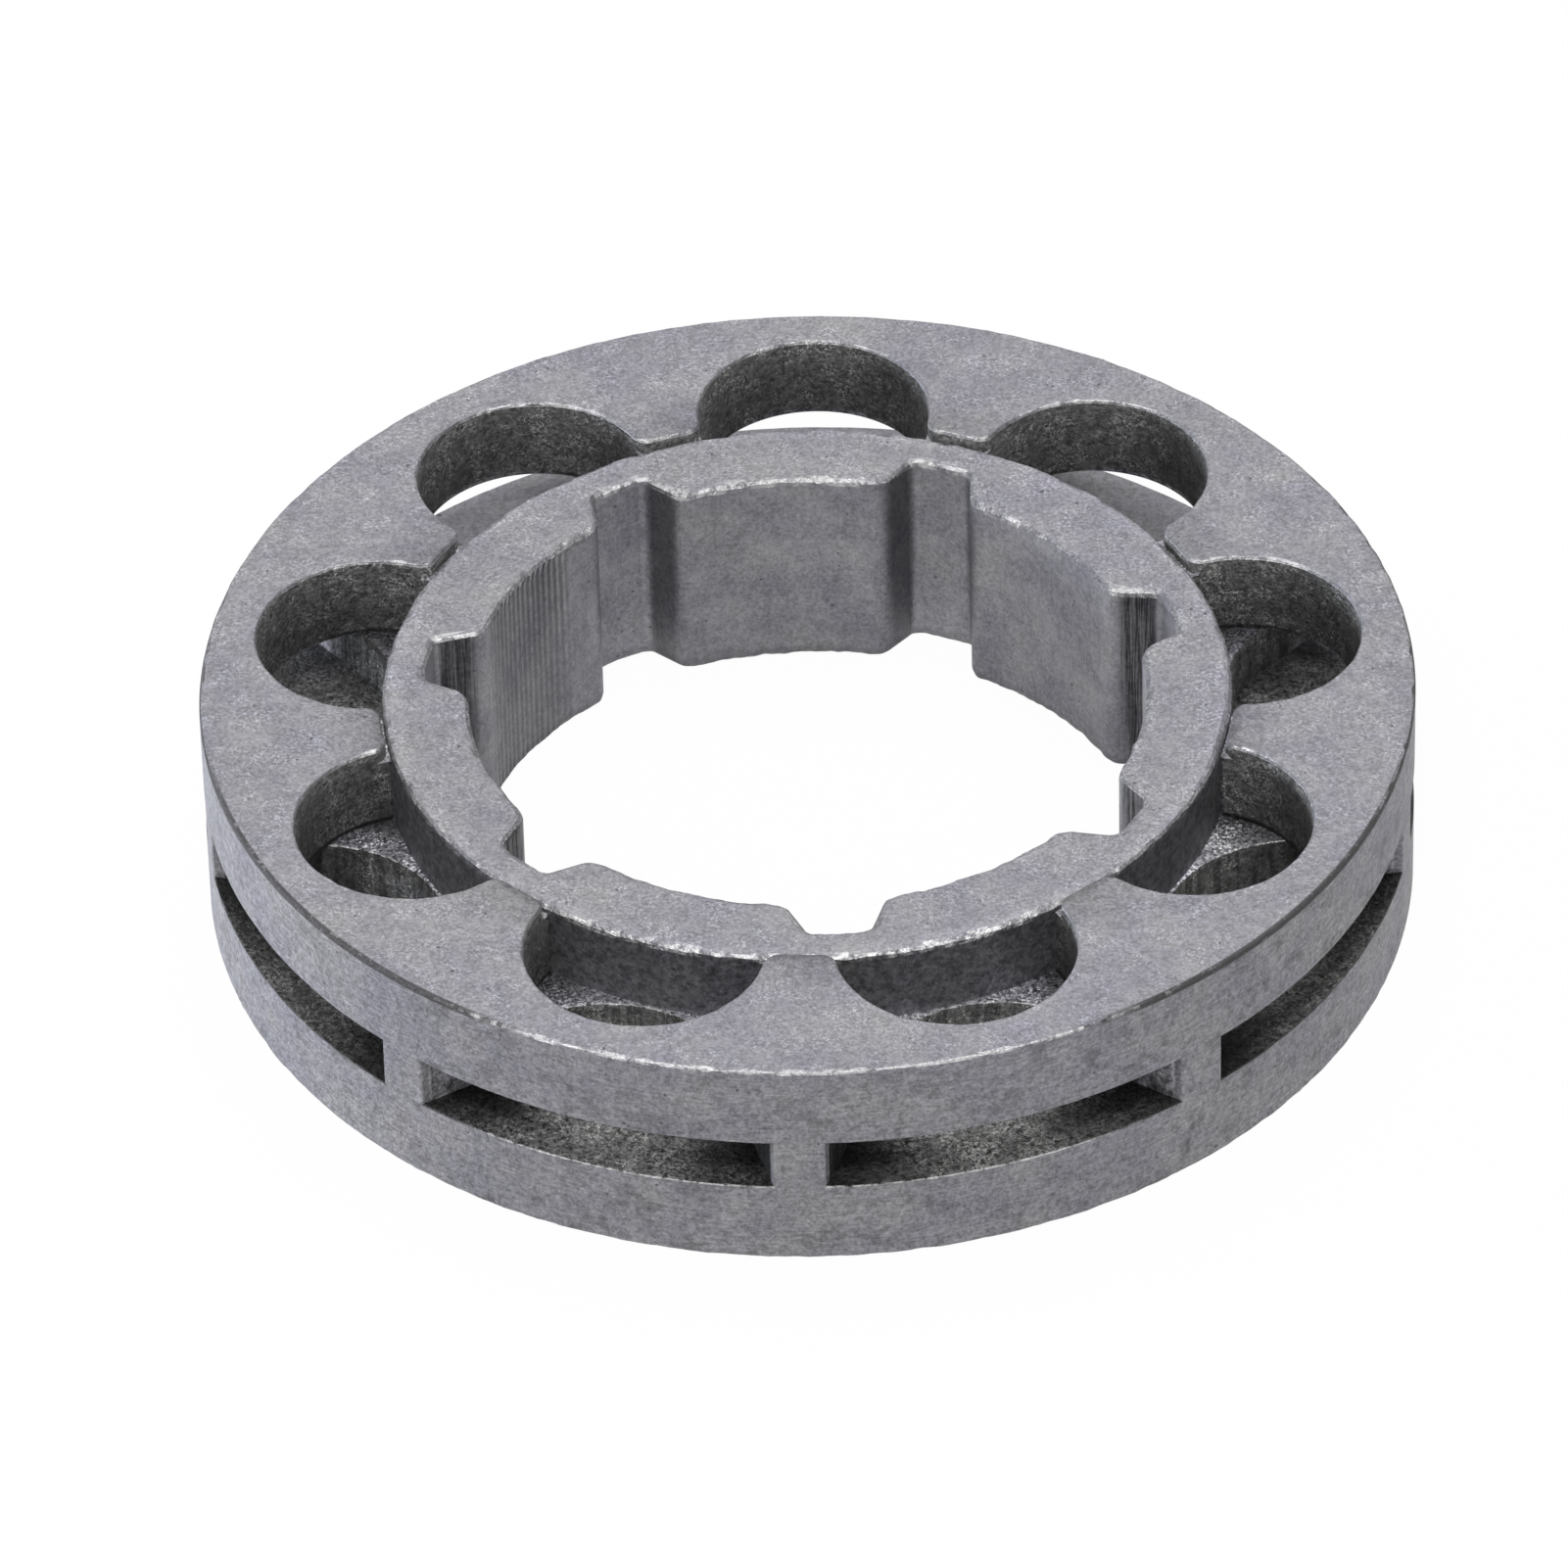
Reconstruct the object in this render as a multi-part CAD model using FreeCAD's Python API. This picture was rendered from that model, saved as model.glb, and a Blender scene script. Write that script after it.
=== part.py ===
import FreeCAD, Part
import math
import os

# Nine-tooth rim sprocket of a chainsaw clutch drum, made in one piece. Two flanges stand on a
# splined hub. Posts between the flanges leave windows for the drive links of the chain, and round
# pockets in the upper flange let the chips out. The origin is the centre of the lower face, +Z up.

# Rim and flanges
rim_diameter = 40.0
lower_flange_thickness = 3.0
link_gap = 1.8                  # height of the windows that take the drive links
upper_flange_thickness = 3.0
rim_edge_break = 0.15

# Posts and the room for the drive links between them
tooth_count = 9
post_width = 1.65               # across a post at the rim
link_root_radius = 4.45         # hollow floor that a drive link's tang sinks into
link_root_margin = 0.1          # from the hub's wall to the deepest point of that floor

# Round pockets through the upper flange
pocket_diameter = 7.8
pocket_rim_margin = 1.5         # from a pocket to the rim's wall
web_tip_margin = 0.1            # from the hub's wall to the blunt ends of the webs
web_corner_radius = 0.55

# Hub
hub_wall = 1.35                 # from the floors of the bore's grooves to the hub's outside
hub_drop = 0.3                  # the hub's upper face lies this far below the upper flange's face
hub_edge_break = 0.25

# Splined bore
groove_count = 7
land_diameter = 22.3
groove_depth = 1.5              # from the land circle to the groove floors
groove_floor_width = 2.0
groove_mouth_width = 3.2
land_corner_radius = 0.7
groove_corner_radius = 0.35
bore_edge_break = 0.2
spline_turn = 5.6               # degrees from a post's middle to the first groove's middle

# Worked out from the sizes above
rim_radius = rim_diameter / 2
land_radius = land_diameter / 2
groove_radius = land_radius + groove_depth
hub_radius = groove_radius + hub_wall
pocket_radius = pocket_diameter / 2
pocket_circle_radius = rim_radius - pocket_rim_margin - pocket_radius
gap_floor = lower_flange_thickness
gap_ceiling = gap_floor + link_gap
rim_height = gap_ceiling + upper_flange_thickness
hub_height = rim_height - hub_drop
tooth_pitch = 360 / tooth_count
groove_pitch = 360 / groove_count
post_azimuth = -90.0            # a post stands at the front
pocket_azimuth = post_azimuth + tooth_pitch / 2
overrun = 1.0                   # how far cutting shapes pass the faces that they cut

up = FreeCAD.Vector(0, 0, 1)
centre = FreeCAD.Vector(0, 0, 0)


def point(x, y, z=0.0):
    return FreeCAD.Vector(x, y, z)


def turned(shape, degrees):
    copy = shape.copy()
    copy.rotate(centre, up, degrees)
    return copy


def cylinder(radius, bottom, top, x=0.0):
    return Part.makeCylinder(radius, top - bottom, point(x, 0, bottom), up)


def tube(inner_radius, outer_radius, bottom, top):
    return cylinder(outer_radius, bottom, top).cut(cylinder(inner_radius, bottom, top))


def prism(edges, bottom, top):
    face = Part.Face(Part.Wire(edges))
    face.translate(point(0, 0, bottom))
    return face.extrude(point(0, 0, top - bottom))


def line(a, b):
    return Part.LineSegment(a, b).toShape()


def arc(a, middle, b):
    return Part.Arc(a, middle, b).toShape()


def upright_edges(shape, radius):
    """The straight edges parallel to the axis that stand at this distance from it."""
    found = []
    for edge in shape.Edges:
        first, last = edge.Vertexes[0].Point, edge.Vertexes[-1].Point
        upright = math.hypot(first.x - last.x, first.y - last.y) < 1e-6
        if upright and abs(math.hypot(first.x, first.y) - radius) < 1e-4:
            found.append(edge)
    return found


def flat_edges(shape, height, inner_radius, outer_radius):
    """The edges that lie in the plane at this height, between two distances from the axis."""
    found = []
    for edge in shape.Edges:
        box = edge.BoundBox
        if max(abs(box.ZMin - height), abs(box.ZMax - height)) > 1e-4:
            continue
        middle = edge.valueAt((edge.FirstParameter + edge.LastParameter) / 2)
        if inner_radius < math.hypot(middle.x, middle.y) < outer_radius:
            found.append(edge)
    return found


def pocket_cutters(bottom, top):
    pocket = cylinder(pocket_radius, bottom, top, pocket_circle_radius)
    return [turned(pocket, pocket_azimuth + index * tooth_pitch) for index in range(tooth_count)]


def link_space():
    """The room of one drive link on the +X axis: a hollow root and two flanks that open outwards."""
    root_x = hub_radius + link_root_margin
    root_middle = root_x + link_root_radius
    half_window = math.radians(tooth_pitch / 2) - math.asin(post_width / 2 / rim_radius)
    mouth_x = rim_radius * math.cos(half_window)
    mouth_y = rim_radius * math.sin(half_window)
    reach = math.hypot(mouth_x - root_middle, mouth_y)
    flank_length = math.sqrt(reach ** 2 - link_root_radius ** 2)
    flank_angle = math.atan2(mouth_y, mouth_x - root_middle) - math.asin(link_root_radius / reach)
    step_x, step_y = math.cos(flank_angle), math.sin(flank_angle)
    inner_x, inner_y = mouth_x - flank_length * step_x, mouth_y - flank_length * step_y
    outer_x, outer_y = mouth_x + overrun * step_x, mouth_y + overrun * step_y
    outline = [
        arc(point(inner_x, -inner_y), point(root_x, 0), point(inner_x, inner_y)),
        line(point(inner_x, inner_y), point(outer_x, outer_y)),
        arc(point(outer_x, outer_y), point(rim_radius + 2 * overrun, 0), point(outer_x, -outer_y)),
        line(point(outer_x, -outer_y), point(inner_x, -inner_y)),
    ]
    return prism(outline, gap_floor, gap_ceiling)


def hub():
    """A turned hub whose upper outer edge is broken."""
    blank = cylinder(hub_radius, 0, hub_height)
    rims = flat_edges(blank, hub_height, hub_radius - overrun, hub_radius + overrun)
    return blank.makeChamfer(hub_edge_break, rims)


def rim():
    """Both flanges and the posts between them, before the pockets are cut."""
    blank = tube(hub_radius - overrun, rim_radius, 0, rim_height)
    edges = flat_edges(blank, 0, rim_radius - overrun, rim_radius + overrun)
    edges += flat_edges(blank, rim_height, rim_radius - overrun, rim_radius + overrun)
    blank = blank.makeChamfer(rim_edge_break, edges)
    space = link_space()
    spaces = [turned(space, pocket_azimuth + index * tooth_pitch) for index in range(tooth_count)]
    return blank.cut(spaces)


def web_tip_relief():
    """What is cleared above the hub: a disc, and the corners that round the webs' blunt ends."""
    tip_radius = hub_radius + web_tip_margin
    bottom = hub_height - hub_edge_break
    top = rim_height + overrun
    ring = tube(tip_radius, rim_radius + overrun, bottom, top)
    webs = ring.cut(pocket_cutters(bottom, top))
    rounded = webs.makeFillet(web_corner_radius, upright_edges(webs, tip_radius))
    return cylinder(tip_radius + 2 * web_corner_radius, bottom, top).cut(rounded)


def splined_bore():
    """The bore's inside as a solid: the land circle with tapered grooves, all corners rounded."""
    bottom, top = -overrun, rim_height + overrun
    half_floor, half_mouth = groove_floor_width / 2, groove_mouth_width / 2
    floor_x = math.sqrt(groove_radius ** 2 - half_floor ** 2)
    mouth_x = math.sqrt(land_radius ** 2 - half_mouth ** 2)
    slope = (half_mouth - half_floor) / (floor_x - mouth_x)
    inner_x = mouth_x - overrun
    half_inner = half_mouth + overrun * slope
    outline = [
        line(point(inner_x, -half_inner), point(floor_x, -half_floor)),
        arc(point(floor_x, -half_floor), point(groove_radius, 0), point(floor_x, half_floor)),
        line(point(floor_x, half_floor), point(inner_x, half_inner)),
        line(point(inner_x, half_inner), point(inner_x, -half_inner)),
    ]
    groove = prism(outline, bottom, top)
    first = post_azimuth + spline_turn
    grooves = [turned(groove, first + index * groove_pitch) for index in range(groove_count)]
    inside = cylinder(land_radius, bottom, top).fuse(grooves).removeSplitter()
    inside = inside.makeFillet(groove_corner_radius, upright_edges(inside, groove_radius))
    return inside.makeFillet(land_corner_radius, upright_edges(inside, land_radius))


def pockets():
    """The pockets' room above the link gap, clear of the hub so that its wall stays whole."""
    bottom, top = gap_ceiling, rim_height + overrun
    wall = cylinder(hub_radius, bottom, top)
    return [cutter.cut(wall) for cutter in pocket_cutters(bottom, top)]


def rim_sprocket():
    body = rim().cut(pockets()).cut(web_tip_relief())
    body = body.fuse(hub()).cut(splined_bore()).removeSplitter()
    bore_limit = hub_radius - 2 * hub_edge_break
    mouths = flat_edges(body, 0, 0, bore_limit) + flat_edges(body, hub_height, 0, bore_limit)
    return body.makeChamfer(bore_edge_break, mouths)


os.makedirs("parts", exist_ok=True)
sprocket = rim_sprocket()
sprocket.exportStep("parts/rim_sprocket.step")
print("solids", len(sprocket.Solids), "valid", sprocket.isValid(), "volume", round(sprocket.Volume, 1))
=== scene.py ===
import math
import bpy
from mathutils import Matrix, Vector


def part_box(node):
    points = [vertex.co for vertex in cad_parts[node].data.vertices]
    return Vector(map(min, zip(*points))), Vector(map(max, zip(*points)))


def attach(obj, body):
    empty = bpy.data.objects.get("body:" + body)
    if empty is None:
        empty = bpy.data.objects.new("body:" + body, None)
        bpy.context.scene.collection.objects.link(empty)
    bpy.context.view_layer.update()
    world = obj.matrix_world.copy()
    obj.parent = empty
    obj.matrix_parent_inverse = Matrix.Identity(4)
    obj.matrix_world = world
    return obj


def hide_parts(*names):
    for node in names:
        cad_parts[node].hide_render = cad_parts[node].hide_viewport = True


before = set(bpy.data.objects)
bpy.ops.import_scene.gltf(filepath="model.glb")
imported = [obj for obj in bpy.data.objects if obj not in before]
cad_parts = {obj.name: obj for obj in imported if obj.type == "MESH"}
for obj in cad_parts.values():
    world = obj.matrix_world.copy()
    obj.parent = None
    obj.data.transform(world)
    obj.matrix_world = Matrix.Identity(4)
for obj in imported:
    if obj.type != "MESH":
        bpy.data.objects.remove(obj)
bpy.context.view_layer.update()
from types import SimpleNamespace

import bmesh
import bpy
from bpy.props import FloatProperty, FloatVectorProperty, IntProperty, PointerProperty
from bpy.types import Operator, Panel, PropertyGroup
from mathutils import Matrix, Vector, noise
from mathutils.geometry import delaunay_2d_cdt

bl_info = {
    "name": "Rim Sprocket",
    "version": (1, 0, 0),
    "blender": (4, 5, 0),
    "location": "3D View > Sidebar > Sprocket",
    "description": "Builds a splined rim sprocket of sintered steel and its studio stage",
    "category": "Object",
}

MM = 0.001
CAD_LOW, CAD_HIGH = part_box("rim_sprocket")


# Sizes and colours that a user would change

def length(name, description, millimetres):
    return FloatProperty(name=name, description=description, default=millimetres * MM,
                         min=0.0, precision=5, unit="LENGTH")


class RimSizes(PropertyGroup):
    rim_diameter: FloatProperty(
        name="Rim Diameter", description="Across both flanges",
        default=CAD_HIGH[0] - CAD_LOW[0], unit="LENGTH")
    rim_height: FloatProperty(
        name="Rim Height", description="From the lower face to the upper flange's face",
        default=CAD_HIGH[2] - CAD_LOW[2], unit="LENGTH")
    lower_flange: length("Lower Flange", "Thickness of the lower flange", 3.0)
    link_gap: length("Link Gap", "Height of the windows for the drive links", 1.8)
    tooth_count: IntProperty(
        name="Teeth", description="Number of pockets, windows and posts", default=9)
    post_width: length("Post Width", "Across a post at the rim", 1.65)
    link_root_radius: length("Link Root Radius", "Hollow floor of the room for one link", 4.45)
    pocket_diameter: length("Pocket Diameter", "Round pockets of the upper flange", 7.8)
    pocket_rim_margin: length("Pocket Margin", "From a pocket to the rim's wall", 1.5)
    web_corner_radius: length("Web Corner", "Rounding of the webs' blunt ends", 0.55)
    hub_diameter: length("Hub Diameter", "Outside of the hub", 28.0)
    hub_drop: length("Hub Drop", "The hub's face below the flange's face", 0.3)
    valley_depth: length("Valley Depth", "The valley beside the hub below the hub's face", 0.26)
    clearance: length("Hub Clearance", "From the hub's wall to webs and link roots", 0.1)


class BoreSizes(PropertyGroup):
    groove_count: IntProperty(name="Grooves", description="Number of spline grooves", default=7)
    land_diameter: length("Land Diameter", "Across the lands of the bore", 22.3)
    groove_depth: length("Groove Depth", "From the lands to the groove floors", 1.5)
    groove_floor_width: length("Groove Floor", "Width of a groove at its floor", 2.0)
    groove_mouth_width: length("Groove Mouth", "Width of a groove at the lands", 3.2)
    land_corner_radius: length("Land Corner", "Rounding where a land meets a groove", 0.7)
    groove_corner_radius: length("Groove Corner", "Rounding at a groove's floor", 0.35)
    spline_turn: FloatProperty(
        name="Spline Turn", description="From a post's middle to the first groove's middle",
        default=math.radians(5.6), subtype="ANGLE", unit="ROTATION")


class EdgeSizes(PropertyGroup):
    rim_edge: length("Rim Edge", "Rounding of the flanges' outer edges", 0.13)
    hub_edge: length("Hub Edge", "Rounding of the hub's outer edge", 0.24)
    bore_edge: length("Bore Edge", "Rounding of the bore's mouths", 0.26)
    web_edge: length("Pocket Edge", "Rounding of the pockets' upper edges", 0.1)
    window_edge: length("Window Edge", "Rounding of windows and ledges", 0.05)
    unevenness: FloatProperty(
        name="Unevenness", description="Of the roundings, as a share of their size",
        default=0.2, min=0, max=0.5)


class SteelColours(PropertyGroup):
    cool: FloatVectorProperty(name="Cool Steel", description="Bluish side of the mottling",
                              default=(0.245, 0.241, 0.276), size=3, subtype="COLOR", min=0, max=1)
    warm: FloatVectorProperty(name="Warm Steel", description="Greyer side of the mottling",
                              default=(0.27, 0.265, 0.276), size=3, subtype="COLOR", min=0, max=1)
    # Painted shade: the rough walls and floors in the hollows take this colour
    hollow_shade: FloatVectorProperty(name="Hollow Walls", description="Rough dark walls inside the pockets",
                              default=(0.138, 0.136, 0.134), size=3, subtype="COLOR", min=0, max=1)
    # Also paints the shade along edges that face away from the front and along the rim's top edge at
    # the sides
    pit: FloatVectorProperty(name="Pits", description="Pores of the sintered skin",
                             default=(0.055, 0.053, 0.055), size=3, subtype="COLOR", min=0, max=1)
    # Rubbed edges, and the painted highlight on the edges that face the front
    wear_and_highlight: FloatVectorProperty(name="Worn Edge", description="Rubbed steel along the edges",
                              default=(0.7, 0.69, 0.685), size=3, subtype="COLOR", min=0, max=1)


class StageSizes(PropertyGroup):
    lens: FloatProperty(name="Lens", description="Focal length of the camera", default=283.65)
    floor_radius: length("Floor Radius", "Half the side of the pale floor", 3000.0)


# Outlines in the plane, in millimetres. The rim's sectors and the hub's meet at a seam in the hub's
# flat faces, whose steps suit both counts of sectors.

SEAM_RADIUS = 13.4
SEAM_STEPS = 378
SEAM_STEP = 360 / SEAM_STEPS
SLIVER_AREA = 1e-5
MERGE_DISTANCE = 1e-5
WALL_MARGIN = 0.01              # a border this close to the rim's radius is a wall
PAST_RIM, FAR_PAST_RIM = 3, 5   # how far a link's room reaches past the rim, at its sides and middle
BORE_MARGIN = 0.5               # borders further in than this from the seam are the bore's walls

# Steps of the arcs of one sector
HUB_STEPS = 60
LINK_ROOT_STEPS = 64
HALF_POST_STEPS = 6
WINDOW_STEPS = 60
WEB_CORNER_STEPS = 10
WEB_TIP_STEPS = 14
OUTER_POCKET_STEPS = 110
INNER_POCKET_STEPS = 70
GROOVE_FLOOR_STEPS = 6
GROOVE_CORNER_STEPS = 8
LAND_CORNER_STEPS = 10
LAND_STEPS = 34


def polar(radius, degrees):
    angle = math.radians(degrees)
    return (radius * math.cos(angle), radius * math.sin(angle))


def arc(centre, radius, start, end, steps):
    """Points on an arc, both ends included; angles in degrees."""
    found = []
    for step in range(steps + 1):
        x, y = polar(radius, start + (end - start) * step / steps)
        found.append((centre[0] + x, centre[1] + y))
    return found


def flipped(points):
    """The same path on the other side of the X axis."""
    return [(x, -y) for x, y in points]


def mirrored(points):
    """The path on the other side of the X axis, from its last point to its first."""
    return list(reversed(flipped(points)))


def inside(polygon, x, y):
    """Whether the point lies in the polygon, by counting crossings."""
    odd = False
    ax, ay = polygon[-1]
    for bx, by in polygon:
        if (ay > y) != (by > y) and x < (bx - ax) * (y - ay) / (by - ay) + ax:
            odd = not odd
        ax, ay = bx, by
    return odd


def triangulated(paths):
    """Delaunay triangles that keep every path's edges: points, triangles."""
    points, edges = [], []
    for path in paths:
        first = len(points)
        points += [Vector(p) for p in path]
        edges += [(first + k, first + k + 1) for k in range(len(path) - 1)]
    points, _, triangles, *_ = delaunay_2d_cdt(points, edges, [], 0, MERGE_DISTANCE)
    return points, triangles


def layered(bm, paths, sector, levels, solid, wall):
    """Stacks prisms over the triangles of a sector and keeps only the faces where steel meets air.

    solid(layer, x, y) says whether a layer has steel there, and wall(a, b) whether an edge on the
    sector's border is a real wall and not a cut to the next sector.
    """
    points, triangles = triangulated(paths)
    kept = []
    for corners in triangles:
        a, b, c = (points[k] for k in corners)
        doubled_area = (b - a).cross(c - a)
        x, y = (a + b + c) / 3
        if abs(doubled_area) > SLIVER_AREA and inside(sector, x, y):
            layers = [solid(layer, x, y) for layer in range(len(levels) - 1)]
            corners = list(corners) if doubled_area > 0 else list(reversed(corners))
            kept.append((corners, [False] + layers + [False]))
    vertices = {}

    def vertex(corner, level):
        if (corner, level) not in vertices:
            p = points[corner]
            vertices[corner, level] = bm.verts.new((p.x * MM, p.y * MM, levels[level] * MM))
        return vertices[corner, level]

    beside = {}
    for corners, layers in kept:
        for level in range(len(levels)):
            below, above = layers[level], layers[level + 1]
            if below and not above:
                bm.faces.new([vertex(c, level) for c in corners])
            if above and not below:
                bm.faces.new([vertex(c, level) for c in reversed(corners)])
        for a, b in zip(corners, corners[1:] + corners[:1]):
            beside.setdefault((min(a, b), max(a, b)), []).append((a, b, layers))
    for sides in beside.values():
        a, b, near = sides[0]
        if len(sides) == 1 and not wall(points[a], points[b]):
            continue
        far = sides[1][2] if len(sides) == 2 else [False] * (len(levels) + 1)
        for layer in range(len(levels) - 1):
            if near[layer + 1] == far[layer + 1]:
                continue
            start, end = (a, b) if near[layer + 1] else (b, a)
            bm.faces.new([vertex(start, layer), vertex(end, layer),
                          vertex(end, layer + 1), vertex(start, layer + 1)])


def finished_mesh(bm, name):
    mesh = bpy.data.meshes.new(name)
    bm.to_mesh(mesh)
    bm.free()
    return mesh


def link_outline(sizes, rim, tip, window):
    """The room of one drive link: from one side of its window round the hollow root to the other."""
    root = sizes.link_root_radius / MM
    root_middle = tip + root
    mouth = polar(rim, window)
    reach = math.hypot(mouth[0] - root_middle, mouth[1])
    flank = math.degrees(math.atan2(mouth[1], mouth[0] - root_middle) - math.asin(root / reach))
    hollow = arc((root_middle, 0), root, flank + 90, 270 - flank, LINK_ROOT_STEPS)
    return [mouth] + hollow + [(mouth[0], -mouth[1])]


def pocket_outlines(sizes, rim, tip, half):
    """A round pocket's outer and inner arcs, and the side of a web: its blunt tip and its corner."""
    pocket = sizes.pocket_diameter / 2 / MM
    middle = rim - sizes.pocket_rim_margin / MM - pocket
    corner = sizes.web_corner_radius / MM
    far, near = tip + corner, pocket + corner
    x = (far ** 2 - near ** 2 + middle ** 2) / (2 * middle)
    y = math.sqrt(far ** 2 - x ** 2)
    at_tip = math.degrees(math.atan2(y, x))
    at_pocket = math.degrees(math.atan2(y, x - middle))
    corner_arc = arc((x, y), corner, at_tip + 180, at_pocket + 180, WEB_CORNER_STEPS)
    outer = arc((middle, 0), pocket, -at_pocket, at_pocket, OUTER_POCKET_STEPS)
    inner = arc((middle, 0), pocket, at_pocket, 360 - at_pocket, INNER_POCKET_STEPS)
    return outer, inner, arc((0, 0), tip, half, at_tip, WEB_TIP_STEPS) + corner_arc[1:]


def rim_sector(sizes):
    """One pocket with half a post on each side, its middle on +X, out from the seam in the hub."""
    rim = sizes.rim_diameter / 2 / MM
    hub = sizes.hub_diameter / 2 / MM
    tip = hub + sizes.clearance / MM
    half = 180 / sizes.tooth_count
    window = half - math.degrees(math.asin(sizes.post_width / 2 / MM / rim))
    seam = arc((0, 0), SEAM_RADIUS, -half, half, SEAM_STEPS // sizes.tooth_count)
    hub_arc = arc((0, 0), hub, -half, half, HUB_STEPS)
    link = link_outline(sizes, rim, tip, window)
    outer_pocket, inner_pocket, web_side = pocket_outlines(sizes, rim, tip, half)
    outside = arc((0, 0), rim, -half, -window, HALF_POST_STEPS)[:-1]
    outside += arc((0, 0), rim, -window, window, WINDOW_STEPS)
    outside += arc((0, 0), rim, window, half, HALF_POST_STEPS)[1:]
    side = [seam[-1], hub_arc[-1], web_side[0], outside[-1]]
    paths = [seam, hub_arc, link, outside, outer_pocket, inner_pocket, web_side, flipped(web_side),
             side, flipped(side)]

    link_area = link + [polar(rim + PAST_RIM, -window), polar(rim + FAR_PAST_RIM, 0),
                        polar(rim + PAST_RIM, window)]
    pocket_area = outer_pocket + inner_pocket[1:-1]
    open_area = [(0, 0)] + flipped(web_side) + outer_pocket + list(reversed(web_side))
    hub_area = [(0, 0)] + hub_arc

    def solid(layer, x, y):
        if layer == 0:
            return True
        if layer == 1:
            return not inside(link_area, x, y)
        if layer == 2:
            return inside(hub_area, x, y) or not inside(pocket_area, x, y)
        if layer == 3:
            return inside(hub_area, x, y) or not inside(open_area, x, y)
        return not inside(open_area, x, y)

    height = sizes.rim_height / MM
    floor = sizes.lower_flange / MM
    hub_top = height - sizes.hub_drop / MM
    levels = [0, floor, floor + sizes.link_gap / MM, hub_top - sizes.valley_depth / MM, hub_top, height]
    bm = bmesh.new()
    layered(bm, paths, seam + list(reversed(outside)), levels, solid,
            lambda a, b: min(a.length, b.length) > rim - WALL_MARGIN)
    return finished_mesh(bm, "rim_sector")


def rounded_corner(corner, before, after, radius, steps):
    """An arc in place of a corner between the directions before and after it."""
    u, v = Vector(before).normalized(), Vector(after).normalized()
    turn = math.atan2(u.x * v.y - u.y * v.x, u.dot(v))
    back = radius * math.tan(abs(turn) / 2)
    start = Vector(corner) - u * back
    side = Vector((-u.y, u.x)) * math.copysign(radius, turn)
    middle = start + side
    found = []
    for step in range(steps + 1):
        found.append(tuple(middle + Matrix.Rotation(turn * step / steps, 2) @ -side))
    return found


def hub_sector(bore):
    """One spline groove with half a land on each side, its middle on +X, in from the seam."""
    land = bore.land_diameter / 2 / MM
    deep = land + bore.groove_depth / MM
    half = 180 / bore.groove_count
    floor_half, mouth_half = bore.groove_floor_width / 2 / MM, bore.groove_mouth_width / 2 / MM
    floor = (math.sqrt(deep ** 2 - floor_half ** 2), floor_half)
    mouth = (math.sqrt(land ** 2 - mouth_half ** 2), mouth_half)
    flank = (mouth[0] - floor[0], mouth[1] - floor[1])
    round_floor = rounded_corner(floor, (-floor[1], floor[0]), flank,
                                 bore.groove_corner_radius / MM, GROOVE_CORNER_STEPS)
    round_land = rounded_corner(mouth, flank, (-mouth[1], mouth[0]),
                                bore.land_corner_radius / MM, LAND_CORNER_STEPS)
    floor_end = math.degrees(math.atan2(round_floor[0][1], round_floor[0][0]))
    land_start = math.degrees(math.atan2(round_land[-1][1], round_land[-1][0]))
    upper = arc((0, 0), deep, 0, floor_end, GROOVE_FLOOR_STEPS)[:-1] + round_floor + round_land
    upper += arc((0, 0), land, land_start, half, LAND_STEPS)[1:]
    outline = mirrored(upper)[:-1] + upper
    turn = math.degrees(bore.spline_turn)
    slip = -turn / SEAM_STEP % 1 * SEAM_STEP
    seam = arc((0, 0), SEAM_RADIUS, slip - half, slip + half, SEAM_STEPS // bore.groove_count)
    sides = [[outline[0], seam[0]], [outline[-1], seam[-1]]]
    return outline, seam, sides


def hub_sector_mesh(sizes, bore):
    outline, seam, sides = hub_sector(bore)
    bm = bmesh.new()
    top = (sizes.rim_height - sizes.hub_drop) / MM
    layered(bm, [outline, seam] + sides, seam + list(reversed(outline)), [0, top],
            lambda layer, x, y: True, lambda a, b: max(a.length, b.length) < SEAM_RADIUS - BORE_MARGIN)
    return finished_mesh(bm, "hub_sector")


# Node trees

class Signal:
    """A socket on which Python's operators add Math nodes."""

    def __init__(self, writer, socket):
        self.writer = writer
        self.socket = socket

    def math(self, operation, *values):
        return self.writer.add("ShaderNodeMath", {"operation": operation}, dict(enumerate(values)))

    def __add__(self, other):
        return self.math("ADD", self, other)

    def __radd__(self, other):
        return self.math("ADD", other, self)

    def __sub__(self, other):
        return self.math("SUBTRACT", self, other)

    def __rsub__(self, other):
        return self.math("SUBTRACT", other, self)

    def __mul__(self, other):
        return self.math("MULTIPLY", self, other)

    def __truediv__(self, other):
        return self.math("DIVIDE", self, other)

    def __rtruediv__(self, other):
        return self.math("DIVIDE", other, self)

    def __pow__(self, other):
        return self.math("POWER", self, other)

    def __neg__(self):
        return self.math("MULTIPLY", self, -1)

    def __abs__(self):
        return self.math("ABSOLUTE", self)

    def above(self, low, high):
        """0 below low, 1 above high and a smooth step between."""
        return self.writer.add("ShaderNodeMapRange", {"interpolation_type": "SMOOTHSTEP"},
                               {"Value": self, "From Min": low, "From Max": high})

    def below(self, low, high):
        return 1 - self.above(low, high)

    def clamped(self):
        return self.writer.add("ShaderNodeClamp", {}, {"Value": self})


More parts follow.
